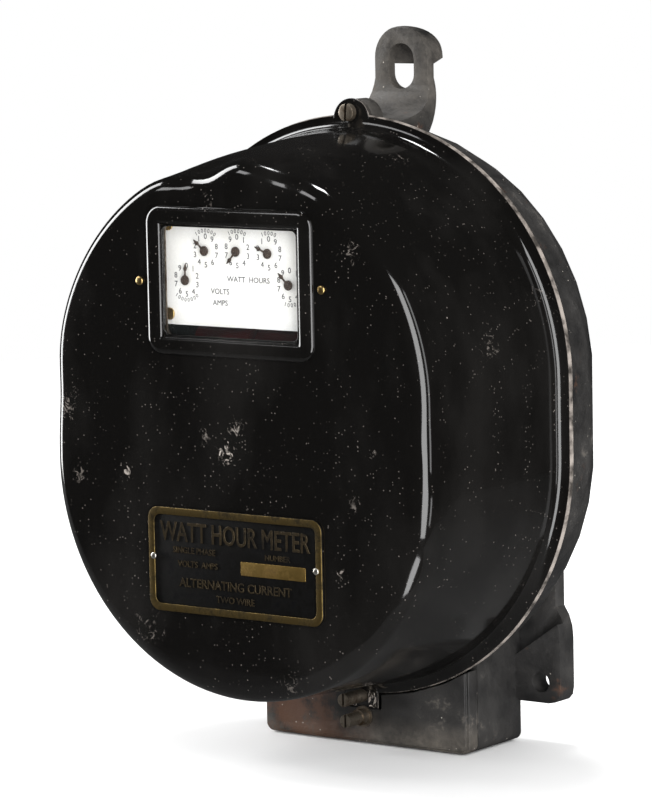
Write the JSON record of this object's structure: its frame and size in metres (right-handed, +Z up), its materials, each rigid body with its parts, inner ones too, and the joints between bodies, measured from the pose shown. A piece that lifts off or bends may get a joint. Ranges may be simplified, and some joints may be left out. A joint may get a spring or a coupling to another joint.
{
  "type": "induction watt-hour meter",
  "caption": "Wall-hung dial electricity meter: obround enamelled sheet-metal cover with a window and small dials, on a cast-iron base with a hanging ear, lugs and a terminal box.",
  "frame": {"origin": "centre of the base casting's flat back, on the wall", "axes": "+Z up along the meter's height, +Y from the front of the cover into the wall, +X to the right as the dials are read"},
  "size_m": [0.2358, 0.1515, 0.3337],
  "materials": {
    "black_enamel": "glossy black stoved enamel on drawn sheet steel, chipped and specked with age",
    "japanned_iron": "worn black japan over cast iron, with pale dust in the hollows",
    "gasket_felt": "dusty felt",
    "window_glass": "clear flat glass",
    "aged_brass": "tarnished brass",
    "bright_brass": "lacquered brass",
    "dull_steel": "dull steel with light rust",
    "white_enamel": "white vitreous enamel",
    "brown_hands": "browned steel",
    "magnet_red": "dark red painted magnet steel",
    "core_iron": "varnished iron sheets",
    "disc_aluminium": "satin aluminium",
    "hard_rubber": "moulded hard rubber",
    "coil_cotton": "varnished cotton tape"
  },
  "bodies": {
    "base": {"base_casting": "japanned_iron", "cover_gasket": "gasket_felt", "cover_screw_bottom": "dull_steel", "terminal_block": "hard_rubber", "wire_entry_strip": "hard_rubber", "terminal_1": "bright_brass", "terminal_2": "bright_brass", "terminal_3": "bright_brass", "terminal_4": "bright_brass", "terminal_screw_1": "bright_brass", "terminal_screw_2": "bright_brass", "terminal_screw_3": "bright_brass", "terminal_screw_4": "bright_brass", "lead_line": "coil_cotton", "lead_load": "coil_cotton", "mechanism_frame": "japanned_iron", "frame_screw_1": "dull_steel", "frame_screw_2": "dull_steel", "magnet_shelf": "japanned_iron", "drag_magnet_left": "magnet_red", "drag_magnet_right": "magnet_red", "voltage_core": "core_iron", "voltage_coil": "coil_cotton", "current_core": "core_iron", "current_coil_left": "coil_cotton", "current_coil_right": "coil_cotton", "lower_bearing": "bright_brass", "upper_bearing": "bright_brass", "register_front_plate": "bright_brass", "register_back_plate": "bright_brass", "dial_plate": "white_enamel", "dial_screw_top_left": "bright_brass", "dial_screw_top_right": "bright_brass", "dial_screw_bottom_left": "bright_brass", "dial_screw_bottom_right": "bright_brass"},
    "cover": {"cover_shell": "black_enamel", "window_glass": "window_glass", "window_retainer": "dull_steel", "window_rivet_left": "bright_brass", "window_rivet_right": "bright_brass", "nameplate": "aged_brass", "nameplate_rivet_left": "dull_steel", "nameplate_rivet_right": "dull_steel", "cover_screw_top": "dull_steel"},
    "terminal_lid": {"terminal_cover": "japanned_iron", "terminal_cover_screw": "dull_steel"},
    "rotor": {"rotor_shaft": "dull_steel", "rotor_disc": "disc_aluminium"},
    "worm_wheel": {"worm_wheel": "bright_brass"},
    "dial_thousands": {"dial_gear_thousands": "bright_brass", "pointer_thousands": "brown_hands"},
    "dial_ten_thousands": {"dial_gear_ten_thousands": "bright_brass", "pointer_ten_thousands": "brown_hands"},
    "dial_hundred_thousands": {"dial_gear_hundred_thousands": "bright_brass", "pointer_hundred_thousands": "brown_hands"},
    "dial_millions": {"dial_gear_millions": "bright_brass", "pointer_millions": "brown_hands"},
    "dial_ten_millions": {"dial_gear_ten_millions": "bright_brass", "pointer_ten_millions": "brown_hands"}
  },
  "joints": [
    {"name": "cover_slide", "type": "slide", "parent": "base", "child": "cover", "axis": [0, -1, 0], "range_m": [0, 0.18]},
    {"name": "terminal_lid_slide", "type": "slide", "parent": "base", "child": "terminal_lid", "axis": [0, -1, 0], "range_m": [0, 0.06]},
    {"name": "rotor_spin", "type": "hinge", "parent": "base", "child": "rotor", "pos_m": [0, -0.084, 0.02], "axis": [0, 0, 1], "continuous": true},
    {"name": "worm_wheel_spin", "type": "hinge", "parent": "base", "child": "worm_wheel", "pos_m": [0.014, -0.1, 0.0579], "axis": [0, 1, 0], "continuous": true},
    {"name": "dial_thousands_spin", "type": "hinge", "parent": "base", "child": "dial_thousands", "pos_m": [0.0289, -0.13, 0.0673], "axis": [0, 1, 0], "continuous": true},
    {"name": "dial_ten_thousands_spin", "type": "hinge", "parent": "base", "child": "dial_ten_thousands", "pos_m": [0.0177, -0.13, 0.0809], "axis": [0, 1, 0], "continuous": true},
    {"name": "dial_hundred_thousands_spin", "type": "hinge", "parent": "base", "child": "dial_hundred_thousands", "pos_m": [0, -0.13, 0.0812], "axis": [0, 1, 0], "continuous": true},
    {"name": "dial_millions_spin", "type": "hinge", "parent": "base", "child": "dial_millions", "pos_m": [-0.0177, -0.13, 0.0809], "axis": [0, 1, 0], "continuous": true},
    {"name": "dial_ten_millions_spin", "type": "hinge", "parent": "base", "child": "dial_ten_millions", "pos_m": [-0.0289, -0.13, 0.0673], "axis": [0, 1, 0], "continuous": true}
  ],
  "couplings": [
    {"joint": "worm_wheel_spin", "follows": "rotor_spin", "ratio": -0.025},
    {"joint": "dial_thousands_spin", "follows": "rotor_spin", "ratio": 0.0025},
    {"joint": "dial_ten_thousands_spin", "follows": "rotor_spin", "ratio": -0.00025},
    {"joint": "dial_hundred_thousands_spin", "follows": "rotor_spin", "ratio": 0.000025},
    {"joint": "dial_millions_spin", "follows": "rotor_spin", "ratio": -0.0000025},
    {"joint": "dial_ten_millions_spin", "follows": "rotor_spin", "ratio": 0.00000025}
  ]
}
